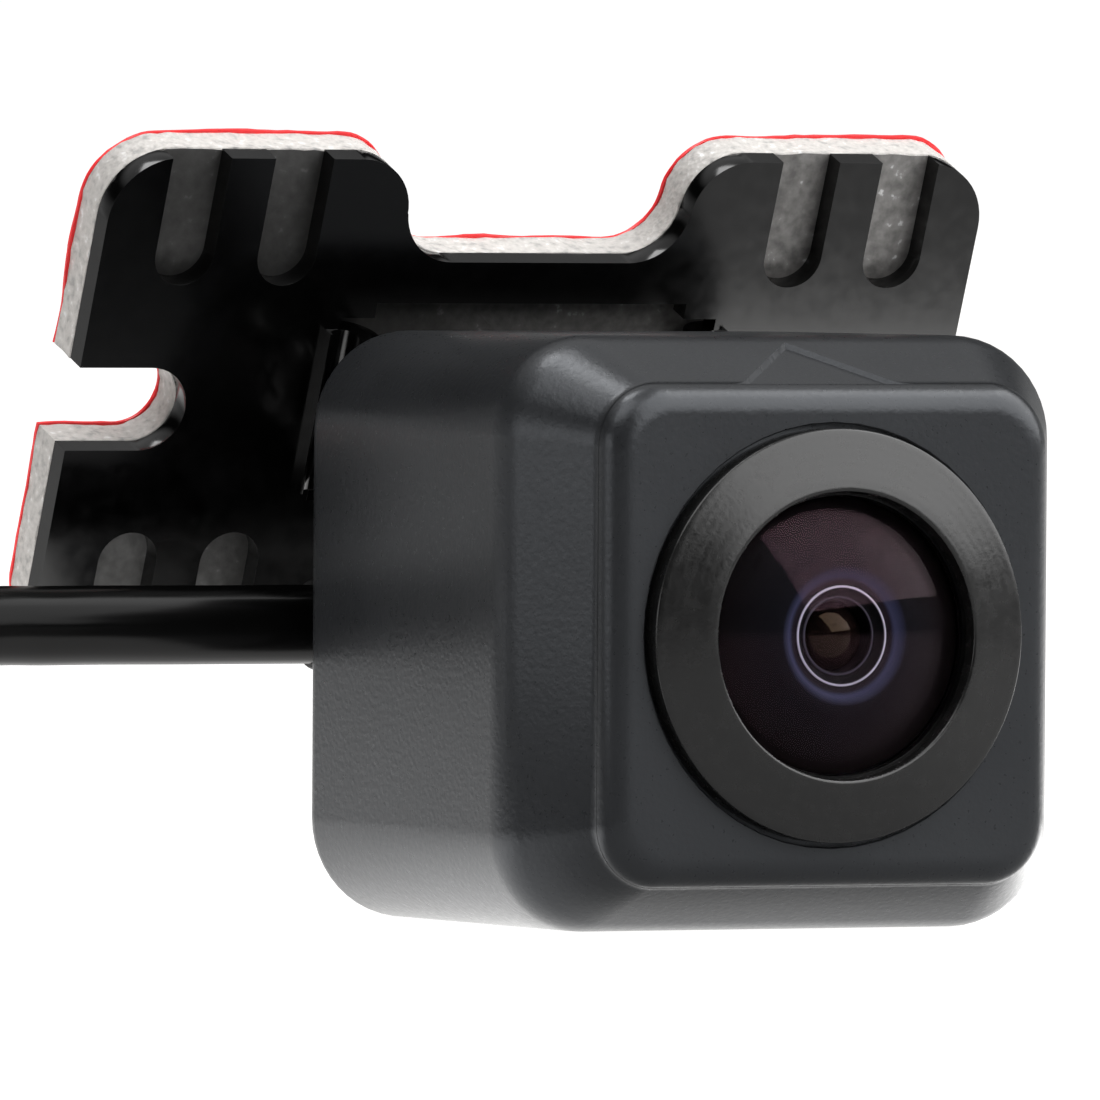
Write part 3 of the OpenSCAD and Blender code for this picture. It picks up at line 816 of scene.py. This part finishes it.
# ------------------------------------------------------------------ the other pieces
POLISHED = [
    ("rear_cover", 0.15, "cover_plastic"),
    ("cover_screws", 0.05, "screw_steel"),
    ("cable_gland", 0.12, "boot_rubber"),
    ("pivot_screws", 0.08, "dark_steel"),
    ("spring_washers", 0.08, "dark_steel"),
    ("friction_washers", 0.1, "socket_nylon"),
    ("bracket_plate", 0.2, "bracket_black"),
    ("cable_tie", 0.12, "tie_strap"),
    ("connector_relief", 0.1, "boot_rubber"),
    ("connector_body", 0.12, "connector_plastic"),
    ("connector_pins", 0.08, "contact_brass"),
]


def make_polished():
    made = {}
    for node, bevel, slot in POLISHED:
        made[node] = polished_copy(node, bevel)
        finish(made[node], slot)
    return made


def sheet_outline(node, step):
    """Outline of a flat CAD node in millimetres, evenly spaced, its front normal and its thickness."""
    form = welded_form(node)
    big = [f for f in form.faces if f.normal.y < -0.5]
    face = max(big, key=lambda f: f.calc_area())
    normal = face.normal.copy()
    corners = [in_mm(v.co) for v in face.verts]
    depths = [in_mm(v.co).dot(normal) for v in form.verts]
    form.free()
    points = []
    for here, there in zip(corners, corners[1:] + corners[:1]):
        apart = (there - here).length
        parts = math.ceil(apart / step) if apart > step / 10 else 0
        points += [here.lerp(there, k / parts) for k in range(parts)]
    return points, normal, max(depths) - min(depths)


def outward(points, normal, k):
    """Direction out of the outline at a point, in its plane."""
    along = points[(k + 1) % len(points)] - points[k - 1]
    return along.cross(normal).normalized()


def cut_sheet(name, node, slot, levels, swell, ragged, grain):
    """Flat piece with a slightly uneven cut edge. Levels are [part of the thickness, inset]."""
    points, normal, thick = sheet_outline(node, 0.45)
    rings = []
    for part, inset in levels:
        ring = []
        for k, point in enumerate(points):
            wave = ragged * noise.noise(point * 0.35)
            cells = grain * noise.noise(point * 2.3 + Vector((part * 5, 0, 0)))
            reach = swell - inset + wave + cells
            ring.append(point + outward(points, normal, k) * reach - normal * thick * part)
        rings.append(ring)
    faces_points, faces = bridge(rings, closed=False)
    piece = mesh_piece(name, faces_points, faces, frame["nodes"][node]["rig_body"], sharp=50)
    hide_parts(node)
    finish(piece, slot)
    return piece, normal


def make_foam():
    """Foam pad, its front face covered by an adhesive film that shows in the slots; the film's dark colour
    is painted shade.
    """
    levels = [(0, 0.06), (0.03, 0), (0.25, 0.02), (0.5, 0), (0.75, 0.02), (0.97, 0), (1, 0.04)]
    foam, normal = cut_sheet("foam_pad", "foam_tape", "acrylic_foam", levels, 0.02, 0.05, 0.07)
    foam.data.materials.append(adhesive_film_painted_shade())
    for face in foam.data.polygons:
        if face.normal.dot(normal) > 0.97:
            face.material_index = 1


def make_liner():
    levels = [(0, 0), (0.5, -0.02), (1, 0)]
    cut_sheet("liner_sheet", "release_liner", "liner_red", levels, 0.07, 0.2, 0.03)


def adhesive_film_painted_shade():
    """Tacky film over the foam, with trapped pale beads; its darkness against the cut edge is painted
    shade, and a painted shade gradient makes it darkest at -X.
    """
    made, tree, shader = material("adhesive_film_painted_shade")
    tone = object_noise(tree, 2100, 4)
    # Painted shade: these dark greys keep the film darker than the foam's cut edge.
    colour = blend_colours(tree, tone, [
        (0.30, grey(0.08, 0.03)), (0.50, grey(0.13, 0.04)), (0.66, grey(0.18, 0.03)), (0.78, grey(0.6))])
    coordinates = tree.nodes.new("ShaderNodeTexCoord")
    apart = tree.nodes.new("ShaderNodeSeparateXYZ")
    tree.links.new(coordinates.outputs["Object"], apart.inputs["Vector"])
    # Painted shade: a gradient that darkens the film towards -X.
    painted_shade_by_x = spread(tree, apart.outputs["X"], 0.12, 1, -0.006, 0.012)
    shade = tree.nodes.new("ShaderNodeMix")
    shade.data_type = "RGBA"
    shade.inputs["A"].default_value = (0.004, 0.004, 0.0035, 1)
    tree.links.new(painted_shade_by_x, shade.inputs["Factor"])
    tree.links.new(colour, shade.inputs["B"])
    tree.links.new(shade.outputs["Result"], shader.inputs["Base Color"])
    tree.links.new(spread(tree, tone, 0.6, 0.4), shader.inputs["Roughness"])
    tree.links.new(bump(tree, object_noise(tree, 1600, 3), 0.03), shader.inputs["Normal"])
    return made


# ------------------------------------------------------------------ studio
WORLD_SEEN = 1.05
ROOM_DIM = 0.01
SWEEP_BRIGHT = 0.32
SWEEP_TOP = 0.5
FLOOR_REACH = 60.0
FLOOR_SEEN = 1.03
FAR_SHARE = 0.3         # what is left of the glow at FADE_TO
FADE_FROM = 0.05        # metres from the row frame's origin
FADE_TO = 0.3
BESIDE_SHARE = 2.0      # how much brighter the floor is beyond BESIDE_TO
BESIDE_FROM = 0.008     # metres along X
BESIDE_TO = 0.024
# Glow of the floor for the object's reflections, [y in mm, strength]
FLOOR_GLOW = [(-45, 0.11), (-22, 0.10), (-16, 0.15), (-14, 0.35), (-12, 1.3), (-8, 2.2), (20, 1.1)]
# Name, azimuth, elevation, distance, width, height, power
SOFTBOXES = [
    ("key_front_right", 48, 39.5, 0.6, 1.05, 0.70, 7.9),
    ("overhead_right", 72, 62, 0.7, 0.4, 0.3, 0.3),
    ("low_left", -84, 7, 0.7, 0.36, 0.26, 0.5),
    ("overhead_left", -58, 56, 0.7, 0.5, 0.4, 1.6),
    ("overhead_back_left", -140, 72, 0.7, 0.26, 0.26, 1.3),
]


def floor_glow(tree):
    """Glow of the light table: one even white to the camera, and graded for everything else.

    For the object's reflections it is brightest under and behind the camera body,
    doubles beyond the body's +X side, and fades with distance.
    """
    coordinates = tree.nodes.new("ShaderNodeTexCoord")
    apart = tree.nodes.new("ShaderNodeSeparateXYZ")
    tree.links.new(coordinates.outputs["Object"], apart.inputs["Vector"])
    first, last = FLOOR_GLOW[0][0], FLOOR_GLOW[-1][0]
    across = spread(tree, apart.outputs["Y"], 0, 1, first * MM, last * MM)
    stops = [((y - first) / (last - first), grey(glow)) for y, glow in FLOOR_GLOW]
    glow = blend_colours(tree, across, stops)
    distance = tree.nodes.new("ShaderNodeVectorMath")
    distance.operation = "LENGTH"
    tree.links.new(coordinates.outputs["Object"], distance.inputs[0])
    fading = spread(tree, distance.outputs["Value"], 1, FAR_SHARE, FADE_FROM, FADE_TO)
    beside = spread(tree, apart.outputs["X"], 1, BESIDE_SHARE, BESIDE_FROM, BESIDE_TO)
    for share in (fading, beside):
        product = tree.nodes.new("ShaderNodeMath")
        product.operation = "MULTIPLY"
        tree.links.new(glow, product.inputs[0])
        tree.links.new(share, product.inputs[1])
        glow = product.outputs["Value"]
    path = tree.nodes.new("ShaderNodeLightPath")
    pick = tree.nodes.new("ShaderNodeMix")
    pick.inputs["B"].default_value = FLOOR_SEEN
    tree.links.new(path.outputs["Is Camera Ray"], pick.inputs["Factor"])
    tree.links.new(glow, pick.inputs["A"])
    return pick.outputs["Result"]


def make_floor():
    corners = [(x * FLOOR_REACH, y * FLOOR_REACH, 0) for x, y in [(-1, -1), (1, -1), (1, 1), (-1, 1)]]
    mesh = bpy.data.meshes.new("studio_floor")
    mesh.from_pydata(corners, [], [(0, 1, 2, 3)])
    floor = bpy.data.objects.new("studio_floor", mesh)
    bpy.context.scene.collection.objects.link(floor)
    made, tree, shader = material("studio_floor")
    tone = blend_colours(tree, object_noise(tree, 3), [(0.3, grey(0.26)), (0.7, grey(0.28))])
    tree.links.new(tone, shader.inputs["Base Color"])
    shader.inputs["Roughness"].default_value = 0.8
    shader.inputs["Specular IOR Level"].default_value = 0.1
    shader.inputs["Emission Color"].default_value = (1, 0.992, 0.98, 1)
    tree.links.new(floor_glow(tree), shader.inputs["Emission Strength"])
    mesh.materials.append(made)


def softbox(name, azimuth, elevation, distance, width, height, power):
    """Area light aimed at the camera body. Azimuth 0 is in front of the lens, and 90 on its +X side."""
    data = bpy.data.lights.new(name, "AREA")
    data.shape = "RECTANGLE"
    data.size = width
    data.size_y = height
    data.energy = power
    light = bpy.data.objects.new(name, data)
    bpy.context.scene.collection.objects.link(light)
    a, e = math.radians(azimuth), math.radians(elevation)
    away = Vector((math.sin(a) * math.cos(e), -math.cos(a) * math.cos(e), math.sin(e)))
    light.location = Vector((0, 0, AXIS_Z * MM)) + away * distance
    light.rotation_euler = away.to_track_quat("Z", "Y").to_euler()
    light.visible_camera = False


def make_world():
    """White to the camera; to the object a dark room, lit low down and overhead except in front."""
    world = bpy.data.worlds.new("studio")
    bpy.context.scene.world = world
    world.use_nodes = True
    tree = world.node_tree
    tree.nodes.clear()
    out = tree.nodes.new("ShaderNodeOutputWorld")
    mix = tree.nodes.new("ShaderNodeMixShader")
    seen = tree.nodes.new("ShaderNodeBackground")
    room = tree.nodes.new("ShaderNodeBackground")
    path = tree.nodes.new("ShaderNodeLightPath")
    seen.inputs["Color"].default_value = (1, 1, 1, 1)
    seen.inputs["Strength"].default_value = WORLD_SEEN
    coordinates = tree.nodes.new("ShaderNodeTexCoord")
    apart = tree.nodes.new("ShaderNodeSeparateXYZ")
    tree.links.new(coordinates.outputs["Generated"], apart.inputs["Vector"])
    dim = grey(ROOM_DIM)
    behind = blend_colours(tree, apart.outputs["Z"], [
        (0.0, grey(SWEEP_BRIGHT)), (0.16, grey(SWEEP_BRIGHT)), (0.34, dim), (0.56, dim),
        (0.70, grey(SWEEP_TOP)), (1.0, grey(SWEEP_TOP))])
    backness = spread(tree, apart.outputs["Y"], 0, 1, -0.5, -0.15)
    around = tree.nodes.new("ShaderNodeMix")
    around.data_type = "RGBA"
    around.inputs["A"].default_value = (*dim, 1)
    tree.links.new(backness, around.inputs["Factor"])
    tree.links.new(behind, around.inputs["B"])
    tree.links.new(around.outputs["Result"], room.inputs["Color"])
    tree.links.new(path.outputs["Is Camera Ray"], mix.inputs["Fac"])
    tree.links.new(room.outputs["Background"], mix.inputs[1])
    tree.links.new(seen.outputs["Background"], mix.inputs[2])
    tree.links.new(mix.outputs["Shader"], out.inputs["Surface"])


def make_studio():
    make_floor()
    make_world()
    for light in SOFTBOXES:
        softbox(*light)
    bpy.context.scene.view_settings.view_transform = "Standard"


# ------------------------------------------------------------------ make it
make_camera()
SLOTS.update(build_materials())
cable = make_cable()
paint_cad_nodes()
polished = make_polished()
make_foam()
make_liner()
make_housing()
make_bezel()
make_front_lens()
make_second_lens()
make_studio()

bpy.context.view_layer.update()
